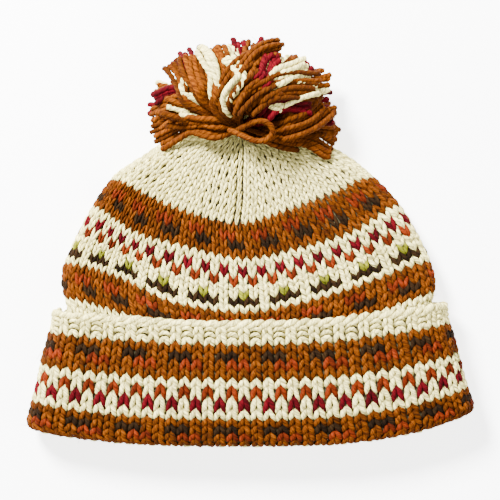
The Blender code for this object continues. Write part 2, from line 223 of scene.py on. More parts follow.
COLOURS = {
    # letter: name, light, dark
    "c": ("cream", (0.97, 0.86, 0.33), (0.25, 0.21, 0.064)),
    "o": ("ochre", (0.120, 0.030, 0.0004), (0.030, 0.0050, 0.0002)),
    "d": ("brown", (0.019, 0.0085, 0.0022), (0.004, 0.0016, 0.0005)),
    "r": ("rust", (0.130, 0.016, 0.0015), (0.050, 0.0050, 0.0008)),
    "k": ("crimson", (0.085, 0.0010, 0.0040), (0.026, 0.0004, 0.0013)),
    "l": ("lime", (0.180, 0.175, 0.010), (0.070, 0.075, 0.004)),
}
DYED = 0.50  # how uneven the dyed yarns are from stitch to stitch
UNDYED = 0.16
DYE_RISE = 0.6  # how much of that goes towards the light side
STREAK_SCALE = 1.8
STREAK_ENDS = (0.38, 0.60)  # where the noise gives a yarn's dark and its light colour
SHADE_FLOOR = 0.28  # how dark the painted shade makes the yarn between the stitches
WOOL_LOOK = {
    "Roughness": 0.92, "Specular IOR Level": 0.05, "Sheen Weight": 0.14, "Sheen Roughness": 0.45,
}
BACKING_LOOK = {"Roughness": 1.0, "Specular IOR Level": 0.05}
draw = np.random.RandomState(11)
ANY_PHASE = 6.3  # radians, about a full turn


def unit(v):
    return v / np.maximum(np.linalg.norm(v, axis=-1, keepdims=True), 1e-12)


def section_arrays():
    """The sections' columns in metres, each as an array over the sections."""
    fold_half = FOLD_WIDTH / 2 - WALL - LAYER_GAP
    above = HAT_HEIGHT - CUFF_HEIGHT
    table = {key: [] for key in KEYS}
    for rows, half, base, span in (
        (CUFF_SECTIONS, fold_half, 0.0, CUFF_HEIGHT),
        (BODY_SECTIONS, BODY_WIDTH / 2, CUFF_HEIGHT, above),
    ):
        for row in rows:
            for key, value in zip(KEYS, row[1:]):
                scale = {"x": half, "y": span}.get(key[-1] if "_" in key else "", 1.0)
                offset = base if key.endswith("_y") else 0.0
                table[key].append(value * scale + offset)
    made = {key: np.array(values) for key, values in table.items()}
    made["radius"] *= EDGE_RADIUS
    made["radius"][-1] = GATHER_HEIGHT
    made["dome"] *= FRONT_DOME
    made["lift"] *= WALL + LAYER_GAP
    return made


def smooth(values, places):
    """Catmull-Rom through the values, at fractional places."""
    last = len(values) - 1
    i = np.clip(np.floor(places).astype(int), 0, last - 1)
    t = places - i
    before, a = values[np.maximum(i - 1, 0)], values[i]
    b, after = values[i + 1], values[np.minimum(i + 2, last)]
    bend = 2 * before - 5 * a + 4 * b - after
    twist = 3 * a - before - 3 * b + after
    return a + 0.5 * t * (b - before + t * (bend + t * twist))


def dent_at(x, y):
    depth = np.zeros_like(x)
    for dent_x, dent_y, angle, length, width, share in DENTS:
        dx, dy = x - dent_x * BODY_WIDTH, y - dent_y * HAT_HEIGHT
        turn = math.radians(angle)
        along = dx * math.cos(turn) + dy * math.sin(turn)
        across = dy * math.cos(turn) - dx * math.sin(turn)
        fall = (along / (length * BODY_WIDTH)) ** 2 + (across / (width * BODY_WIDTH)) ** 2
        depth += share * FRONT_DOME * np.exp(-fall)
    return depth


def around():
    """Places round the hat from the left fold's middle: across, turn and whether it is front."""
    flat = np.linspace(-1, 1, FLAT_STEPS + 1)
    up = np.linspace(math.pi / 2, 0, FOLD_STEPS + 1)[:-1]
    down = np.linspace(0, math.pi / 2, FOLD_STEPS + 1)[1:]
    front = [(-1.0, t, 1.0) for t in up] + [(x, 0.0, 1.0) for x in flat]
    front += [(1.0, t, 1.0) for t in down]
    back = [(1.0, t, 1.0) for t in down + math.pi / 2] + [(-x, 0.0, 0.0) for x in flat]
    back += [(-1.0, t, 1.0) for t in up[1:] + math.pi / 2]
    back.append((-1.0, math.pi / 2, 1.0))
    return np.array(front), np.array(back)


def surface_points(row, places):
    """The solid's outer surface for arrays of section rows and places round the hat."""
    across, turn, front = (places[None, :, k] for k in range(3))
    column = {key: value[:, None] for key, value in row.items()}
    right = across > 0
    end_x = np.where(right, column["right_x"], column["left_x"])
    end_y = np.where(right, column["right_y"], column["left_y"])
    half = np.abs(end_x - column["mid_x"])
    radius = np.minimum(column["radius"], half)
    reach = np.abs(across) * (half - radius) + radius * np.sin(turn)
    share = reach / half
    x = column["mid_x"] + np.where(right, reach, -reach)
    y = column["mid_y"] + (end_y - column["mid_y"]) * share ** column["bow"]
    rise = np.where(front > 0, radius * np.cos(turn), -radius)
    z = column["lift"] + radius + rise
    crown = (column["dome"] - dent_at(x, y)) * np.maximum(0.0, 1 - share**2)
    z += np.where(front > 0, crown * (0.5 + 0.5 * np.cos(turn)), 0.0)
    return np.stack([x, y - CUFF_BACK, z], axis=-1)


def run_along(line):
    """The distance of each point of a line from its first."""
    steps = np.linalg.norm(np.diff(line, axis=0), axis=-1)
    return np.concatenate([[0.0], np.cumsum(steps)])


def resampled(line, run, places):
    """Points of a line at the given places, where run holds the places of its own points."""
    return np.stack([np.interp(places, run, line[:, k]) for k in range(3)], axis=-1)


def even_columns(points, count):
    """Points of each row moved to even steps along it."""
    made = []
    for row in points:
        run = run_along(row)
        made.append(resampled(row, run, np.linspace(0, run[-1], count + 1)))
    return np.array(made)


def base_grid():
    """The solid's outer surface: section steps by column steps, closed round the hat."""
    table = section_arrays()
    count = (len(table["bow"]) - 1) * SECTION_STEPS
    places = np.linspace(0, len(table["bow"]) - 1, count + 1)
    row = {key: smooth(values, places) for key, values in table.items()}
    row["lift"] = np.clip(row["lift"], 0.0, WALL + LAYER_GAP)
    front, back = around()
    made = [even_columns(surface_points(row, side), HALF * COLUMN_STEPS) for side in (front, back)]
    grid = np.concatenate([made[0][:, :-1], made[1][:, :-1]], axis=1)
    extent = np.stack([row["left_x"], row["right_x"]], axis=-1)
    return places, grid, extent


def normals_of(grid):
    round_hat = np.roll(grid, -1, axis=1) - np.roll(grid, 1, axis=1)
    up_hat = np.gradient(grid, axis=0)
    return unit(np.cross(round_hat, up_hat))


def row_numbers(grid, extent):
    """The body's row number at every point of the grid."""
    width = extent[:, 1] - extent[:, 0]
    share = np.clip((grid[..., 0] - extent[:, :1]) / width[:, None], 0, 1)
    y = (grid[..., 1] + CUFF_BACK) * 1000
    places = np.interp(share, LINE_SHARES, np.arange(len(LINE_SHARES)))
    lines = [smooth(np.array(line[1:]), places) for line in ROW_LINES]
    made = np.full(y.shape, float(ROW_LINES[0][0]))
    made += (y - lines[0]) / (lines[1] - lines[0]) * (ROW_LINES[1][0] - ROW_LINES[0][0])
    for k in range(1, len(lines) - 1):
        rise = (y - lines[k]) / (lines[k + 1] - lines[k])
        step = ROW_LINES[k][0] + rise * (ROW_LINES[k + 1][0] - ROW_LINES[k][0])
        made = np.where(y >= lines[k], step, made)
    return np.maximum.accumulate(made, axis=0)


class Knit:
    """A surface measured in rows and columns, with its normals."""

    def __init__(self, grid, normals, first, step):
        self.grid, self.normals, self.first, self.step = grid, normals, first, step

    def at(self, row, column):
        """Points and normals at arrays of rows and columns."""
        r = np.clip((row - self.first) / self.step, 0, self.grid.shape[0] - 1.001)
        c = np.mod(column * COLUMN_STEPS, self.grid.shape[1])
        i, j = r.astype(int), c.astype(int)
        fr, fc = (r - i)[..., None], (c - j)[..., None]
        k = (j + 1) % self.grid.shape[1]
        j = j % self.grid.shape[1]
        out = []
        for values in (self.grid, self.normals):
            low = values[i, j] * (1 - fc) + values[i, k] * fc
            high = values[i + 1, j] * (1 - fc) + values[i + 1, k] * fc
            out.append(low * (1 - fr) + high * fr)
        return out[0], unit(out[1])


def body_knit(places, grid, extent):
    numbers = row_numbers(grid, extent)
    rows = np.arange(FIRST_ROW, ROW_LINES[-1][0] + 1e-6, 1 / ROW_STEPS)
    made = np.empty((len(rows), grid.shape[1], 3))
    depth = np.empty((len(rows), grid.shape[1]))
    for j in range(grid.shape[1]):
        line = numbers[:, j] + np.arange(len(places)) * 1e-7
        depth[:, j] = np.interp(rows, line, places)
        made[:, j] = resampled(grid[:, j], places, depth[:, j])
    return Knit(made, normals_of(made), rows[0], 1 / ROW_STEPS), depth, rows


def cuff_offset(grid, share):
    """How far the cuff stands off the body: most at the sides, not at all under the back."""
    column = np.arange(grid.shape[1]) / COLUMN_STEPS
    across = np.clip((column / HALF * 2 - 1) * FLARE_REACH, -1, 1)
    flat = FLARE_FRONT + (1 - FLARE_FRONT) * across**FLARE_POWER
    right = np.clip(1 - (column - HALF) / FOLD_COLUMNS, 0, 1)
    left = np.clip(1 - (COLUMNS - column) / FOLD_COLUMNS, 0, 1)
    return CUFF_FLARE * share[:, None] ** 2 * np.where(column <= HALF, flat, right + left)[None, :]


def fold_arc(grid, normals, reach, turns):
    """Points round the lower fold, at a distance from its middle, and their outward directions."""
    out = normals[0]
    down = unit(grid[0] - grid[1])
    down = unit(down - out * np.sum(down * out, axis=-1, keepdims=True))
    outward = np.array([out * math.cos(turn) + down * math.sin(turn) for turn in turns])
    return grid[0] + out * (LAYER_GAP / 2) + outward * reach, outward


def cuff_profile(places, grid, normals):
    """Each column's line down the cuff from its top edge, round the fold and up inside the hat."""
    low = places <= HEM + 1e-9
    rows, outs = grid[low][::-1], normals[low][::-1]
    share = places[low][::-1] / HEM
    stand = LAYER_GAP + WALL + cuff_offset(grid, share)
    outer = rows + outs * stand[..., None]
    up = unit(grid[np.sum(low)] - grid[np.sum(low) - 1])
    top = outer[0] + up * ROPE_RISE - outs[0] * (WALL * ROPE_SINK)
    turns = np.linspace(0, math.pi, FOLD_STEPS + 1)[1:]
    arc, arc_out = fold_arc(grid, normals, WALL + LAYER_GAP / 2, turns)
    inside = (rows[::-1] - outs[::-1] * WALL)[1:]
    line = np.concatenate([top[None], outer, arc, inside])
    outward = np.concatenate([unit(outs[0] + up)[None], outs, arc_out, -outs[::-1][1:]])
    return line, outward, 1 + len(outer)


def cuff_rows():
    """Row lines of the cuff in millimetres from its top edge to the fold's lowest stitches."""
    heights = [ROPE_HEIGHT] + [RIB_HEIGHT] * RIB_ROWS + [height for _, height in CUFF_CHART]
    return np.concatenate([[0.0], np.cumsum(heights)])


def respaced(values, points, fronts):
    """Values moved to columns that are even on the given points, front and back apart."""
    half = HALF * COLUMN_STEPS
    count = points.shape[1]
    made = np.empty_like(values)
    for i in range(len(points)):
        run = run_along(np.concatenate([points[i], points[i, :1]]))
        fore = np.linspace(0, run[half], fronts * COLUMN_STEPS + 1)[:-1]
        back = np.linspace(run[half], run[-1], count - len(fore) + 1)[:-1]
        ring = np.concatenate([values[i], values[i, :1]])
        made[i] = resampled(ring, run, np.concatenate([fore, back]))
    return made


def cuff_knit(places, grid, normals):
    line, outward, fold = cuff_profile(places, grid, normals)
    marks = cuff_rows()
    rows = np.arange(-1.0, marks[-1] + INSIDE_ROWS * INSIDE_HEIGHT, CUFF_STEP)
    count = line.shape[1]
    made, outs = np.empty((len(rows), count, 3)), np.empty((len(rows), count, 3))
    for j in range(count):
        run = run_along(line[:, j])
        bottom = run[fold + FOLD_STEPS // 2 - 1]
        inside = bottom + (rows - marks[-1]) * 0.001
        where = np.where(rows < marks[-1], rows / marks[-1] * bottom, inside)
        made[:, j] = resampled(line[:, j], run, where)
        outs[:, j] = resampled(outward[:, j], run, where)
    outs = respaced(outs, made, CUFF_FRONT)
    made = respaced(made, made, CUFF_FRONT)
    return Knit(made, unit(outs), rows[0], CUFF_STEP)


def sweep(centres, ups, wide, tall, sides, seeds, rim):
    """Tubes along many paths at once, none under the table. Paths are tube by ring by xyz."""
    rest = np.maximum(wide, tall) * (1 + PLY_LOBE)
    height = np.maximum(centres[..., 2], rest)
    centres = np.concatenate([centres[..., :2], height[..., None]], axis=-1)
    ahead = unit(np.gradient(centres, axis=1))
    side = unit(np.cross(ahead, ups))
    up = np.cross(side, ahead)
    steps = np.linalg.norm(np.diff(centres, axis=1), axis=-1)
    along = np.concatenate([np.zeros((len(centres), 1)), np.cumsum(steps, axis=1)], axis=1)
    theta = np.arange(sides) * (2 * math.pi / sides)
    phase = theta[None, None, :] - (along * PLY_TWIST + seeds[:, None] * ANY_PHASE)[:, :, None]
    shape = 1 + PLY_LOBE * np.cos(2 * phase)
    across = (wide[:, :, None] * np.cos(theta) * shape)[..., None]
    rise = (tall[:, :, None] * np.sin(theta) * shape)[..., None]
    points = centres[:, :, None] + side[:, :, None] * across + up[:, :, None] * rise
    fibre = np.stack([np.cos(phase), np.sin(phase), np.zeros_like(phase)], axis=-1)
    fibre[..., 2] = (along * FIBRE_ALONG + seeds[:, None] * SEED_REACH)[:, :, None]
    tone = np.broadcast_to(seeds[:, None, None], phase.shape)
    # Painted shade: rim gives each ring's light, from 0, darkest, to 1, unshaded
    shade = np.broadcast_to(rim[..., None], phase.shape)
    return points.reshape(-1, 3), fibre.reshape(-1, 3), tone.ravel(), shade.ravel()


def tube_faces(count, rings, sides):
    """Quads for a number of like tubes with closed ends and an even number of sides."""
    s = np.arange(sides)
    t = (s + 1) % sides
    quads = []
    for j in range(rings - 1):
        low, high = j * sides, (j + 1) * sides
        quads.append(np.stack([low + s, low + t, high + t, high + s], axis=-1))
    caps, top = [], (rings - 1) * sides
    for i in range(1, sides - 1, 2):
        caps.append([0, i + 2, i + 1, i])
        caps.append([top, top + i, top + i + 1, top + i + 2])
    one = np.concatenate(quads + [np.array(caps)])
    return (one[None] + (np.arange(count) * rings * sides)[:, None, None]).reshape(-1, 4)


def mesh_object(name, points, faces, finish, fibre=None, values=()):
    mesh = bpy.data.meshes.new(name)
    mesh.vertices.add(len(points))
    mesh.vertices.foreach_set("co", np.asarray(points, dtype=np.float32).ravel())
    mesh.loops.add(faces.size)
    mesh.loops.foreach_set("vertex_index", faces.astype(np.int32).ravel())
    mesh.polygons.add(len(faces))
    starts = np.arange(0, faces.size, faces.shape[1], dtype=np.int32)
    mesh.polygons.foreach_set("loop_start", starts)
    mesh.update(calc_edges=True)
    mesh.validate()
    if fibre is not None:
        data = mesh.attributes.new("fibre", "FLOAT_VECTOR", "POINT").data
        data.foreach_set("vector", np.asarray(fibre, dtype=np.float32).ravel())
    for key, numbers in values:
        data = mesh.attributes.new(key, "FLOAT", "POINT").data
        data.foreach_set("value", np.asarray(numbers, dtype=np.float32))
    mesh.materials.append(finish)
    mesh.shade_smooth()
    obj = bpy.data.objects.new(name, mesh)
    bpy.context.scene.collection.objects.link(obj)
    return obj


def moved(column, table):
    """A column's place after the columns are pushed aside."""
    stations, shifts = zip(*table)
    return column + float(np.interp(column % COLUMNS, stations, shifts))


def cuff_middles():
    return np.array([moved(column, CUFF_SHIFTS) for column in range(COLUMNS)]) + CUFF_SHIFT


def crown_row(index):
    """(middle, width) in columns of each stitch of a row that is narrowed beside four spines."""
    count = max(SECTOR - 2 * ((index - FIRST_DECREASE + 2) // 2), 1)
    quarter = COLUMNS / 4
    width = quarter / (count + len(SPINE))
    made = []
    for spine in range(4):
        middle = SPINE_AT + spine * quarter
        made += [(middle + step * width, share * width) for step, share in zip(SPINE, SPINE_WIDTHS)]
        first = middle + (len(SPINE) / 2 + 0.5) * width
        made += [(first + k * width, width) for k in range(count)]
    return made


def body_cells():
    """Every stitch of the body: its colour, lower line, height, middle and width."""
    cells, low = [], 0.0
    for index, (pattern, height) in enumerate(BODY_CHART):
        if index >= FIRST_DECREASE:
            cells += [(pattern[0], low, height, *place) for place in crown_row(index)]
        else:
            for column in range(COLUMNS):
                letter = pattern[(column + BODY_PHASE) % len(pattern)]
                width = moved(column + 0.5, COLUMN_SHIFTS) - moved(column - 0.5, COLUMN_SHIFTS)
                middle = moved(column, COLUMN_SHIFTS) + BODY_SHIFT
                cells.append((letter, low, height, middle, width))
        low += height
    return cells


def cuff_cells(low):
    cells = []
    middles = cuff_middles()
    for pattern, height in CUFF_CHART:
        for column in range(COLUMNS):
            letter = pattern[(column + CUFF_PHASE) % len(pattern)]
            width = moved(column + 0.5, CUFF_SHIFTS) - moved(column - 0.5, CUFF_SHIFTS)
            cells.append((letter, low, height, middles[column], width))
        low += height
    return cells


def legs(knit, cells, sides, mirror):
    """One leg of each cell's stitch."""
    shape = np.array(LEG)
    low, height, middle, width = np.array([cell[1:] for cell in cells]).T[..., None]
    count = len(cells)
    lean = draw.normal(0, LEG_LEAN, (count, 1))
    lift = draw.normal(0, LEG_LIFT, (count, 1))
    size = 1 + draw.normal(0, LEG_SIZE, (count, 1))
    drift = draw.normal(0, LEG_DRIFT, (count, 1))
    across = mirror * shape[None, :, 0] + lean * (shape[None, :, 1] - LEAN_ABOUT)
    row = low + (shape[None, :, 1] + drift) * height
    column = middle + across * width
    points, outs = knit.at(row, column)
    left, _ = knit.at(low + height / 2, middle - width / 2)
    right, _ = knit.at(low + height / 2, middle + width / 2)
    pitch = np.linalg.norm(right - left, axis=-1)
    points = points + outs * (shape[None, :, 2] * 0.001 - SKIN + lift)[..., None]
    wide = LEG_WIDE * pitch * shape[None, :, 3] * size
    tall = YARN_TALL * (LEG_FLAT + (1 - LEG_FLAT) * shape[None, :, 3]) * size
    rim = np.broadcast_to(LEG_SHADE, (count, len(shape)))
    return sweep(points, outs, wide, tall, sides, draw.uniform(0, 1, count), rim)


class Yarns:
    """Gathers tubes by piece name until the pieces are made."""

    def __init__(self):
        self.parts = {}

    def add(self, name, letter, tubes, rings, sides):
        points, fibre, tone, shade = tubes
        faces = tube_faces(len(points) // (rings * sides), rings, sides)
        self.parts.setdefault((name, letter), []).append((points, fibre, tone, shade, faces))

    def add_fuzz(self):
        """Loose fibres that stand out of the dyed yarns, apart from those on the back."""
        for (name, letter), parts in list(self.parts.items()):
            if letter == "c" or "back" in name:
                continue
            points = np.concatenate([part[0] for part in parts])
            count = int(len(points) * FUZZ_SHARE)
            starts = points[draw.randint(0, len(points), count)]
            ahead = unit(draw.normal(0, 1, (count, 1, 3)) + np.array([0, 0, FUZZ_RISE]))
            curl = draw.normal(0, FUZZ_CURL, (count, 1, 3))
            share = np.linspace(0, 1, FUZZ_RINGS)[None, :, None]
            length = draw.uniform(*FUZZ_LENGTH, (count, 1, 1))
            paths = starts[:, None] + length * (ahead * share + curl * share**2)
            ups = np.broadcast_to(unit(draw.normal(0, 1, (count, 1, 3))), paths.shape)
            thin = np.full((count, FUZZ_RINGS), FUZZ_RADIUS)
            seeds = draw.uniform(0, 1, count)
            tubes = sweep(paths, ups, thin, thin, FUZZ_SIDES, seeds, np.ones_like(thin))
            self.add(name, letter, tubes, FUZZ_RINGS, FUZZ_SIDES)

    def build(self, finishes, node):
        self.add_fuzz()
        for (name, letter), parts in self.parts.items():
            offset, faces = 0, []
            for part in parts:
                faces.append(part[4] + offset)
                offset += len(part[0])
            points, fibre, tone, shade = map(np.concatenate, list(zip(*parts))[:4])
            values = (("tone", tone), ("shade", shade))
            obj = mesh_object(name, points, np.concatenate(faces), finishes[letter], fibre, values)
            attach(obj, "root")
            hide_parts(node)


def add_stitches(yarns, zone, knit, cells, front):
    """The two legs of every stitch, in a piece for each colour, front and back apart."""
    for letter in COLOURS:
        coloured = [cell for cell in cells if cell[0] == letter]
        for side, sides in (("front", FRONT_SIDES), ("back", BACK_SIDES)):
            chosen = [cell for cell in coloured if (cell[3] % COLUMNS < front) == (side == "front")]
            if not chosen:
                continue
            for mirror in (-1, 1):
                tubes = legs(knit, chosen, sides, mirror)
                yarns.add(f"{zone}_{side}_{COLOURS[letter][0]}", letter, tubes, len(LEG), sides)


def add_path_tubes(yarns, name, knit, low, height, middles, path, wide, sides=FRONT_SIDES):
    """Cream tubes along one path that is repeated at each of the given stitches."""
    shape = np.array(path)
    count = len(middles)
    column = middles[:, None] + shape[None, :, 0]
    tilt = draw.normal(0, PATH_TILT, (count, 1))
    row = low + (shape[None, :, 1] + tilt * shape[None, :, 0]) * height
    points, outs = knit.at(row, column)
    lift = draw.normal(0, PATH_LIFT, (count, 1))
    points = points + outs * (shape[None, :, 2] * 0.001 - SKIN + lift)[..., None]
    thick = wide * shape[None, :, 3] * (1 + draw.normal(0, PATH_SIZE, (count, 1)))
    rim = np.broadcast_to(np.interp(shape[:, 3], PATH_RIM, (0, 1)), (count, len(shape)))
    tubes = sweep(points, outs, thick, thick * PATH_FLAT, sides, draw.uniform(0, 1, count), rim)
    yarns.add(name, "c", tubes, len(shape), sides)


ROPE_PATH = [
    # across, along, height, width
    (-0.98, 1.00, -1.7, 0.40), (-0.66, 0.84, -0.2, 0.86), (-0.28, 0.62, 0.75, 1.10),
    (0.10, 0.42, 0.95, 1.14), (0.48, 0.24, 0.45, 0.98), (0.84, 0.08, -0.9, 0.52),
]
PURL_PATH = [
    (-0.54, 0.98, -1.4, 0.45), (-0.37, 0.52, -0.2, 0.82), (-0.13, 0.18, 0.40, 1.06),
    (0.13, 0.18, 0.40, 1.06), (0.37, 0.52, -0.2, 0.82), (0.54, 0.98, -1.4, 0.45),
]
PATH_TILT = 0.22  # how unevenly the rope's and the rib's loops slant, lie and swell
PATH_LIFT = 0.00015
PATH_SIZE = 0.06
PATH_FLAT = 0.85
PATH_RIM = (0.4375, 1.0625)  # the widths at which a loop lies in the shade and in the light
ROPE_WIDE = 0.00155
PURL_WIDE = 0.00118
PURLS = 3  # bumps down one purl column of the rib
PURL_SINK = 0.5  # millimetres that the bumps reach under the row over them
KNIT_SINK = 0.6
FOOT_SHARE = 0.62  # of a rib row, for the stitch under the bumps
FOOT_WIDTH = 0.95


def make_cuff_edge(yarns, knit, marks):
    """The rope-like cast-on edge and the short rib under it, one stitch knit and one purl."""
    columns = cuff_middles()
    add_path_tubes(yarns, "cuff_rope", knit, marks[0], ROPE_HEIGHT, columns, ROPE_PATH, ROPE_WIDE)
    foot = marks[1 + RIB_ROWS]
    step = (foot - marks[1]) / PURLS
    for bump in range(PURLS):
        low = marks[1] + bump * step - PURL_SINK
        add_path_tubes(yarns, "cuff_rib_purl", knit, low, step, columns[1::2], PURL_PATH, PURL_WIDE)
    last = FOOT_SHARE * RIB_HEIGHT
    cells = [("c", foot - last, last, middle, FOOT_WIDTH) for middle in columns[1::2]]
    for index in range(RIB_ROWS):
        low = marks[1 + index] - KNIT_SINK
        cells += [("c", low, RIB_HEIGHT, middle, 1.0) for middle in columns[0::2]]
    add_stitches(yarns, "cuff_rib", knit, cells, CUFF_FRONT)


def make_inside(yarns, knit, start):
    """Purl bumps inside the opening, where the knitting's wrong side shows."""
    columns = cuff_middles()
    half = INSIDE_HEIGHT / 2
    for index in range(2 * INSIDE_ROWS - 2):
        low = start + index * half
        middles = columns + 0.5 * (index % 2)
        add_path_tubes(
            yarns, "inside_cream", knit, low, half, middles, PURL_PATH, PURL_WIDE, BACK_SIDES
        )


def make_backing(places, grid, normals, finish):
    """The closed fabric under the stitches, thinner than the solid on each side. Its dark brown is
    painted shade for the gaps between the stitches.
    """
    low = places <= HEM + 1e-9
    stand = cuff_offset(grid, places / HEM)
    line = [(grid - normals * BACKING)[::-1]]
    line.append((grid + normals * (LAYER_GAP + BACKING + stand)[..., None])[low])
    skin = LAYER_GAP + WALL - BACKING + stand
    line.append((grid + normals * skin[..., None])[low][::-1])
    turns = np.linspace(0, math.pi, BACKING_TURNS + 1)[1:-1]
    line.append(fold_arc(grid, normals, WALL + LAYER_GAP / 2 - BACKING, turns)[0])
    inner = places <= BACKING_TOP
    line.append((grid - normals * (WALL - BACKING / 2))[inner])
    line = np.concatenate(line)[::2, ::COLUMN_STEPS]
    rings, count = line.shape[:2]
    i = np.arange(rings)[:, None]
    j = np.arange(count)[None, :]
    k, m = (j + 1) % count, (i + 1) % rings
    faces = np.stack([i * count + j, m * count + j, m * count + k, i * count + k], axis=-1)
    obj = mesh_object("knit_backing", line.reshape(-1, 3), faces.reshape(-1, 4), finish)
    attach(obj, "root")
    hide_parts("knit_body")


def new_material(name, look):
    """A material and its shader, with the inputs that the look names."""
    made = bpy.data.materials.new(name)
    made.use_nodes = True
    shader = made.node_tree.nodes["Principled BSDF"]
    for key, value in look.items():
        shader.inputs[key].default_value = value
    return made, shader


def stored(material, name):
    """The node that reads one of the mesh's own attributes."""
    node = material.node_tree.nodes.new("ShaderNodeAttribute")
    node.attribute_name = name
    return node


def mottled(material, place, scale, *stops):
    """A noise node, and the colour that it gives through a ramp with (position, colour) stops."""
    nodes, links = material.node_tree.nodes, material.node_tree.links
    noise, ramp = nodes.new("ShaderNodeTexNoise"), nodes.new("ShaderNodeValToRGB")
    noise.inputs["Scale"].default_value = scale
    for element, (position, colour) in zip(ramp.color_ramp.elements, stops):
        element.position, element.color = position, (*colour, 1)
    links.new(place, noise.inputs["Vector"])
    links.new(noise.outputs["Fac"], ramp.inputs["Fac"])
    return noise, ramp.outputs["Color"]


def combined(material, operation, first, second):
    """The output of a maths node between two sockets."""
    node = material.node_tree.nodes.new("ShaderNodeMath")
    node.operation = operation
    material.node_tree.links.new(first, node.inputs[0])
    material.node_tree.links.new(second, node.inputs[1])
    return node.outputs["Value"]


def ranged(material, value, ends):
    """The output of a map range node with the given ends. The others stay 0 and 1."""
    node = material.node_tree.nodes.new("ShaderNodeMapRange")
    for key, number in ends.items():
        node.inputs[key].default_value = number
    material.node_tree.links.new(value, node.inputs["Value"])
    return node.outputs["Result"]


def yarn_material(name, light, dark, uneven):
    """Wool: fibres that run round the yarn, two plies, uneven dye and a soft sheen, with painted
    shade between the stitches and between the plies.
    """
    made, shader = new_material(name, WOOL_LOOK | {"Sheen Tint": (*light, 1)})
    nodes, links = made.node_tree.nodes, made.node_tree.links
    fibre = stored(made, "fibre").outputs["Vector"]
    streak, colour = mottled(made, fibre, STREAK_SCALE, *zip(STREAK_ENDS, (dark, light)))
    streak.inputs["Detail"].default_value = 5.0
    streak.inputs["Roughness"].default_value = 0.68
    ends = {"To Min": 1 - uneven, "To Max": 1 + uneven * DYE_RISE}
    dye = ranged(made, stored(made, "tone").outputs["Fac"], ends)
    # Painted shade: the mesh's shade attribute darkens the colour between the stitches and at the
    # pompom strands' roots
    painted_shade = ranged(made, stored(made, "shade").outputs["Fac"], {"To Min": SHADE_FLOOR})
    squares = nodes.new("ShaderNodeVectorMath")
    squares.operation = "MULTIPLY"
    links.new(fibre, squares.inputs[0])
    links.new(fibre, squares.inputs[1])
    parts = nodes.new("ShaderNodeSeparateXYZ")
    links.new(squares.outputs["Vector"], parts.inputs["Vector"])
    # The cosine of twice the angle round the yarn, which is -1 between its two plies
    turned = combined(made, "SUBTRACT", parts.outputs["X"], parts.outputs["Y"])
    # Painted shade in the groove between the plies; the same value also drives the bump
    ends = {"From Min": GROOVE_FLOOR, "From Max": -GROOVE_EDGE, "To Min": 1 - GROOVE}
    ply = ranged(made, turned, ends)
    lit = combined(made, "MULTIPLY", combined(made, "MULTIPLY", dye, painted_shade), ply)
    mixed = nodes.new("ShaderNodeVectorMath")
    mixed.operation = "SCALE"
    links.new(colour, mixed.inputs[0])
    links.new(lit, mixed.inputs["Scale"])
    links.new(mixed.outputs["Vector"], shader.inputs["Base Color"])
    bump = nodes.new("ShaderNodeBump")
    bump.inputs["Strength"].default_value = 0.9
    bump.inputs["Distance"].default_value = 0.0006
    links.new(combined(made, "ADD", streak.outputs["Fac"], ply), bump.inputs["Height"])
    links.new(bump.outputs["Normal"], shader.inputs["Normal"])
    return made


def backing_material():
    made, shader = new_material("backing_shade_wool", BACKING_LOOK)
    place = made.node_tree.nodes.new("ShaderNodeTexCoord").outputs["Object"]
    # Painted shade: a dark brown, not the yarns' own colours, so that the gaps between the stitches
    # look shadowed
    stops = (0, (0.022, 0.018, 0.008)), (1, (0.070, 0.060, 0.032))
    _, colour = mottled(made, place, 900.0, *stops)
    made.node_tree.links.new(colour, shader.inputs["Base Color"])
    return made


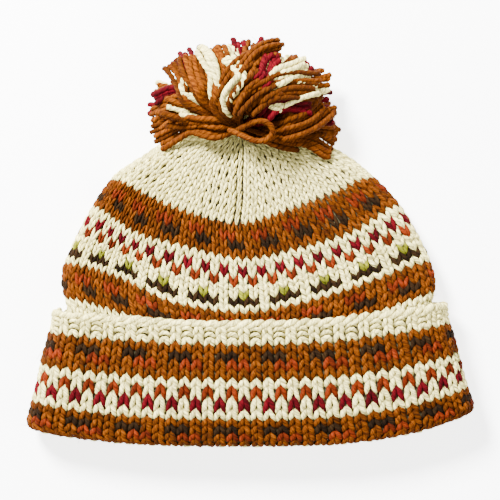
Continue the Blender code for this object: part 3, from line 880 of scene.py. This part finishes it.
# The pompom's strands lie in bundles, side by side. Each bundle's route is given in millimetres as
# it is seen from above: its first bend, its second bend and its tips, with heights over the table.
TIE = (-2.8, 140.5, 22.0)
BUNDLES = [
    # colour, strands, gap, x1, y1, z1, x2, y2, z2, tip x, tip y, tip z
    ("k", 4, 2.2, -22, 141, 16, -33, 138, 12, -41, 137, 7),
    ("k", 4, 2.4, -27, 149, 16, -40, 150, 13, -54, 147.5, 8),
    ("c", 3, 2.2, -27, 154, 18, -41, 160, 16, -50, 161, 13),
    ("k", 4, 2.4, -24, 158, 22, -33, 168, 22, -41, 178.5, 16),
    ("o", 4, 2.4, -27, 152, 20, -40, 157, 20, -50.5, 157, 16),
    ("c", 4, 2.4, -8, 160, 26, -9, 175, 26, -11, 184.5, 20),
    ("k", 5, 2.4, -5, 163, 28, -4.5, 178, 26, -3, 187.5, 20),
    ("o", 4, 2.2, -2, 163, 28, 1.5, 178, 28, 3, 187, 22),
    ("k", 3, 2.2, 1, 163, 30, 5, 178, 30, 7, 188.5, 24),
    ("c", 3, 2.2, 2, 162, 28, 7, 177, 28, 10, 187.5, 22),
    ("k", 3, 2.2, 4, 160, 27, 10, 175, 26, 14, 185.5, 19),
    ("o", 4, 2.2, 7, 158, 26, 18, 170, 24, 27, 177, 16),
    ("k", 4, 2.2, 10, 156, 27, 22, 166, 26, 33, 172.5, 20),
    ("o", 4, 2.4, 14, 153, 24, 28, 162, 22, 42.5, 168.5, 14),
    ("c", 3, 2.2, 14, 150, 24, 29, 158, 22, 42, 163.5, 14),
    ("k", 3, 2.2, 15, 148, 24, 29, 154, 20, 43.5, 158.5, 13),
    ("c", 3, 2.2, 18, 143, 20, 31, 144, 16, 42.5, 141.5, 9),
    ("k", 3, 2.2, 18, 144, 22, 33, 147, 18, 45, 146.5, 12),
    ("o", 4, 2.4, 18, 141, 18, 34, 140, 14, 46.5, 138, 7),
    ("o", 5, 2.5, -27, 150.5, 28, -39, 156, 27, -53, 154, 19),
    ("k", 3, 2.2, -30, 152.5, 26, -42, 158.5, 27, -52, 156.5, 21),
    ("c", 2, 2.2, -30.5, 154, 31, -36.5, 161, 34, -36, 168, 31),
    ("o", 5, 2.5, -28, 153, 31, -36.5, 165, 33, -42, 176, 26),
    ("k", 3, 2.2, -26, 158, 31, -32, 170, 32, -36.5, 182, 25),
    ("o", 6, 2.5, -22.5, 153.5, 36, -29, 165, 40, -30.5, 179, 32),
    ("k", 2, 2, -19, 163, 32, -23.5, 175, 32, -26, 184.5, 26),
    ("o", 3, 2.3, -17, 155, 38, -16.5, 171, 39, -18.5, 185.5, 31),
    ("o", 2, 2.2, -14.5, 157, 38, -14, 172, 39, -15, 184.5, 32),
    ("c", 3, 2.3, -18.5, 155, 41, -20, 172, 43, -29, 183, 34),
    ("c", 3, 2.2, -12.5, 153, 42, -5, 167, 46, -11.5, 178, 42),
    ("o", 4, 2.4, -5.5, 165, 43, 1, 178, 43, 18.5, 184.5, 34),
    ("k", 4, 2.3, 4.5, 160, 41, 9, 170.5, 43, 14.5, 179, 38),
    ("k", 3, 2.2, 9, 159, 38, 18, 169.5, 38, 30.5, 173, 30),
    ("c", 4, 2.3, 8, 160, 41, 17, 169, 41, 31.5, 174, 33),
    ("c", 3, 2.2, 11, 158, 39, 21, 166.5, 38, 34.5, 167, 30),
    ("c", 2, 2.2, 4.5, 150.5, 41, 10, 152.5, 42, 17, 152, 40),
    ("k", 5, 2.3, 4.5, 147, 37, 17.5, 154, 38, 34, 153.5, 30),
    ("c", 3, 2.2, 7, 152, 39, 18, 153.5, 38, 36, 160, 31),
    ("k", 2, 2.2, 8, 146, 35, 22, 149, 32, 31, 147, 27),
    ("o", 6, 2.5, 3, 153.5, 42, 18, 162.5, 42, 37.5, 161, 31),
    ("o", 7, 2.5, 15.5, 140, 33, 28, 143, 32, 40, 155, 23),
    ("o", 5, 2.5, 18, 140.5, 29, 31, 144, 26, 45.5, 143.5, 17),
    ("o", 7, 2.5, 20, 139, 25, 34.5, 135.5, 20, 47, 131.5, 10),
    ("o", 9, 2.5, -11, 151.5, 40, -6.5, 163, 46, 7, 173, 45),
    ("o", 7, 2.5, -5.5, 148, 40, 1, 157.5, 46, 13, 166, 44),
    ("c", 1, 2, -13.5, 147.5, 38, -13.5, 154, 42, -8, 160, 45),
    ("o", 7, 2.5, -21.5, 146, 30, -37, 148, 24, -52.5, 140.5, 12),
    ("o", 6, 2.4, -18.5, 140, 29, -33, 141.5, 23, -52, 134.5, 12),
    ("o", 6, 2.4, 6, 137.5, 32, 15, 136, 30, 28, 133.5, 22),
]
LOOP = [
    # x, y, z
    (-8.0, 137.5, 32.0), (-1.5, 141.0, 39.0), (5.0, 143.5, 42.0), (10.5, 141.5, 42.0),
    (12.5, 137.0, 40.5), (9.0, 133.0, 39.0), (2.5, 132.5, 38.0), (-4.5, 135.5, 36.0),
    (-12.0, 138.5, 32.0),
]
STRAND_RADIUS = 1.55  # millimetres, as the sizes below are
STRAND_RINGS = 38
STRAND_SIDES = 8
ROOT_SPREAD = 1.4  # how far the strands of a bundle scatter at the tie
ROOT_END = 0.15  # what is left of that spread at the tips
FAN = ((0, 0.33, 0.7, 1.0), (0.25, 0.85, 1.0, 1.15))  # how a bundle spreads along its route
STRAND_ENDS = (0.93, 1.03)  # a strand's length as a share of its route
SINK_OUTER = -0.10  # how a bundle's outer strands, and every second one, lie lower
SINK_SECOND = -0.9
SLACK = 1.05  # how far a strand waves from its route
WAVE_APART = 0.55  # how far neighbours' waves differ, in radians
WAVE_PACE = (8.0, 12.0)  # radians from root to tip
WAVE_SIZE = (0.6, 1.3)
WAVE_RISE = 2.2  # how soon the wave is full
FILL_STRANDS = 170
FILL_COLOURS = "oooookkc"
FILL_REACH = 43.0  # of a filling strand that points away from the crown
FILL_SIDE = 9.0  # how much longer one to the side is
FILL_PAST = 0.08  # radians past the sideways direction
FILL_TILT = (0.02, 0.62)  # radians over the table
FILL_ENDS = (0.80, 1.0)
FILL_ROOT = 13.0  # the height at which one begins
FILL_SPREAD = 2.2
FILL_SAG = 0.28  # how far its tip hangs, as a share of its length
STEEP = 0.96  # the sine of the climb over which a strand's sides are turned from +Y, not +Z
TIP_SIZES = (1.06, 0.78)  # a strand's last rings
STRAND_SIZE = 0.06
ROOT_SHADE = ((0, 0.17, 0.42), (0.3, 0.75, 1.0))  # how the light grows from the root outwards
CROWN_FROM = 0.105  # metres: no strand reaches further down the crown
CROWN_CLEAR = 0.001
LIFT_SPREAD = 5  # rings before and after a place over which a strand's lift is spread


def under(point):
    """The place at its height that the camera sees at the given place, in millimetres."""
    middle = np.array([0.0, VIEW_MIDDLE * 1000])
    point = np.asarray(point, dtype=float)
    share = 1 + (SCALE_HEIGHT - point[..., 2:] * 0.001) / CAMERA_HEIGHT
    return np.concatenate([middle + (point[..., :2] - middle) * share, point[..., 2:]], axis=-1)


def along_route(marks, places):
    """Points of a smooth route through the given marks."""
    return np.stack([smooth(marks[:, axis], places) for axis in range(3)], axis=-1)


def bundle_paths(route, strands, gap):
    """Strands side by side along a route, close at the tie, fanned and uneven at their tips."""
    marks = np.array(route)
    made = []
    for k in range(strands):
        aside = (k - (strands - 1) / 2) * gap
        reach = (len(marks) - 1) * draw.uniform(*STRAND_ENDS)
        places = np.linspace(0, reach, STRAND_RINGS)
        path = along_route(marks, np.minimum(places, len(marks) - 1))
        over = np.maximum(places - (len(marks) - 1), 0)[:, None]
        path = path + over * (marks[-1] - marks[-2])
        ahead = unit(np.gradient(path, axis=0) * np.array([1, 1, 0]))
        side = np.stack([-ahead[:, 1], ahead[:, 0], np.zeros(STRAND_RINGS)], axis=-1)
        share = places / (len(marks) - 1)
        fan = np.interp(share, *FAN)[:, None]
        sink = SINK_OUTER * aside**2 / gap + SINK_SECOND * (k % 2)
        made.append(path + side * aside * fan + np.array([0, 0, sink]) * fan)
    return waved(np.array(made), strands)


def waved(paths, strands):
    """A slack wave that neighbours share in part."""
    share = np.linspace(0, 1, STRAND_RINGS)[None, :, None]
    common = draw.uniform(0, ANY_PHASE, (1, 1, 3))
    turn = common + draw.normal(0, WAVE_APART, (strands, 1, 3))
    pace = draw.uniform(*WAVE_PACE, (1, 1, 3))
    size = SLACK * draw.uniform(*WAVE_SIZE, (strands, 1, 3))
    return paths + size * np.sin(pace * share + turn) * np.minimum(share * WAVE_RISE, 1.0)


def make_pompom(finishes):
    yarns, crown = Yarns(), crown_top()
    for row in BUNDLES:
        letter, strands, gap = row[:3]
        route = [TIE] + [row[3 + 3 * k:6 + 3 * k] for k in range(3)]
        paths = bundle_paths(route, strands, gap)
        spread = np.linspace(1, ROOT_END, STRAND_RINGS)[None, :, None]
        paths = paths + draw.normal(0, ROOT_SPREAD, (strands, 1, 3)) * spread
        add_strands(yarns, letter, under(paths), crown)
    loop = np.array(LOOP)
    path = along_route(loop, np.linspace(0, len(loop) - 1, STRAND_RINGS))
    add_strands(yarns, "o", under(path[None]), crown)
    for letter in sorted(set(FILL_COLOURS)):
        count = FILL_STRANDS * FILL_COLOURS.count(letter) // len(FILL_COLOURS)
        add_strands(yarns, letter, fill_paths(count), crown)
    yarns.build(finishes, "pompom")


def fill_paths(count):
    """Strands that fill the pompom under its bundles."""
    angle = draw.uniform(-FILL_PAST, math.pi + FILL_PAST, count)
    lift = draw.uniform(*FILL_TILT, count)
    reach = draw.uniform(*FILL_ENDS, count) * (FILL_REACH + FILL_SIDE * np.abs(np.cos(angle)))
    level = np.cos(lift)
    ahead = np.stack([np.cos(angle) * level, np.sin(angle) * level, np.sin(lift)], axis=-1)
    share = np.linspace(0, 1, STRAND_RINGS)[None, :, None]
    root = np.array([TIE[0], TIE[1], FILL_ROOT]) + draw.normal(0, FILL_SPREAD, (count, 1, 3))
    path = root + ahead[:, None] * reach[:, None, None] * share
    path[..., 2] -= FILL_SAG * reach[:, None] * share[..., 0] ** 2
    return waved(path, count)


def crown_top():
    """Points of the crown's upper side, down to the middle of its side folds."""
    _, grid, _ = base_grid()
    points = grid[::2, :HALF * COLUMN_STEPS + 1:4].reshape(-1, 3)
    return points[points[:, 1] > CROWN_FROM]


def lifted(path, crown, radius):
    """A strand raised smoothly where it would run into the crown."""
    apart = np.linalg.norm(path[:, None, :2] - crown[None, :, :2], axis=-1)
    need = crown[apart.argmin(axis=1), 2] + radius - path[:, 2]
    need = np.where(apart.min(axis=1) < radius + CROWN_CLEAR, np.maximum(need, 0), 0)
    window = 2 * LIFT_SPREAD + 1
    wide = np.pad(need, LIFT_SPREAD, mode="edge")
    peak = np.array([wide[k:k + window].max() for k in range(len(need))])
    rise = np.convolve(np.pad(peak, LIFT_SPREAD, mode="edge"), np.ones(window) / window, "valid")
    return path + rise[:, None] * np.array([0, 0, 1])


def add_strands(yarns, letter, paths, crown):
    """Adds paths in millimetres as strands of one colour."""
    radius = STRAND_RADIUS * 0.001
    paths = np.array([lifted(path, crown, radius) for path in paths * 0.001])
    paths[..., 2] = np.maximum(paths[..., 2], radius)
    up = np.zeros_like(paths)
    up[..., 2] = 1.0
    steep = np.abs(unit(np.gradient(paths, axis=1))[..., 2:]) > STEEP
    up = np.where(steep, np.array([0.0, 1.0, 0.0]), up)
    count, rings = paths.shape[:2]
    thick = np.full((count, rings), radius)
    thick[:, -len(TIP_SIZES):] *= np.array(TIP_SIZES)
    thick *= 1 + draw.normal(0, STRAND_SIZE, (count, 1))
    lit = np.interp(np.linspace(0, 1, rings), *ROOT_SHADE)
    rim = np.broadcast_to(lit, (count, rings))
    tubes = sweep(paths, up, thick, thick, STRAND_SIDES, draw.uniform(0, 1, count), rim)
    yarns.add("strands_" + COLOURS[letter][0], letter, tubes, rings, STRAND_SIDES)


def make_hat(finishes):
    places, grid, extent = base_grid()
    normals = normals_of(grid)
    body, depth, rows = body_knit(places, grid, extent)
    cuff = cuff_knit(places, grid, normals)
    yarns = Yarns()
    shown = [cell for cell in body_cells() if shows_above_cuff(cell, depth, rows)]
    add_stitches(yarns, "body", body, shown, HALF)
    marks = cuff_rows()
    add_stitches(yarns, "cuff", cuff, cuff_cells(marks[1 + RIB_ROWS]), CUFF_FRONT)
    make_cuff_edge(yarns, cuff, marks)
    make_inside(yarns, cuff, marks[-1])
    yarns.build(finishes, "knit_body")
    make_backing(places, grid, normals, backing_material())


def shows_above_cuff(cell, depth, rows):
    """Whether a stitch of the body lies above the cuff's top edge."""
    j = int(cell[3] * COLUMN_STEPS) % depth.shape[1]
    return np.interp(cell[1] + cell[2], rows, depth[:, j]) > HEM - UNDER_CUFF


def make_tie():
    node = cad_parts["pompom_tie"]
    light, dark = COLOURS["r"][1:]
    finish = yarn_material("tie_wool", light, dark, DYED)
    for slot in node.material_slots:
        slot.material = finish


def make_stage():
    bpy.ops.mesh.primitive_plane_add(size=FLOOR_SIZE, location=(0, 0, FLOOR_HEIGHT))
    floor = bpy.context.object
    floor.name = "floor"
    floor.data.materials.append(new_material("floor_white", FLOOR_LOOK)[0])


def area_light(name, place, size, power):
    data = bpy.data.lights.new(name, "AREA")
    data.shape = "DISK"
    data.size = size
    data.energy = power
    obj = bpy.data.objects.new(name, data)
    bpy.context.scene.collection.objects.link(obj)
    obj.location = place
    aim = np.array(LIGHT_TARGET) - np.array(place)
    obj.rotation_euler = Vector(aim).to_track_quat("-Z", "Y").to_euler()


def make_light():
    world = bpy.data.worlds.new("studio")
    bpy.context.scene.world = world
    world.use_nodes = True
    sky = world.node_tree.nodes["Background"].inputs
    sky["Color"].default_value = (1, 1, 1, 1)
    sky["Strength"].default_value = WORLD_LIGHT
    for light in LIGHTS:
        area_light(*light)


def make_camera():
    """Straight down, as in the photo, whose scale holds at the middle of the hat's height."""
    data = bpy.data.cameras.new("camera")
    obj = bpy.data.objects.new("camera", data)
    bpy.context.scene.collection.objects.link(obj)
    obj.location = (0, VIEW_MIDDLE, CAMERA_HEIGHT + SCALE_HEIGHT)
    data.sensor_width = SENSOR
    data.lens = SENSOR * CAMERA_HEIGHT / (FRAME_PIXELS * MM_PER_PIXEL * 0.001)
    bpy.context.scene.camera = obj


def main():
    finishes = {}
    for letter, (name, light, dark) in COLOURS.items():
        uneven = UNDYED if letter == "c" else DYED
        finishes[letter] = yarn_material(name + "_wool", light, dark, uneven)
    make_camera()
    make_hat(finishes)
    make_pompom(finishes)
    make_tie()
    make_stage()
    make_light()


main()
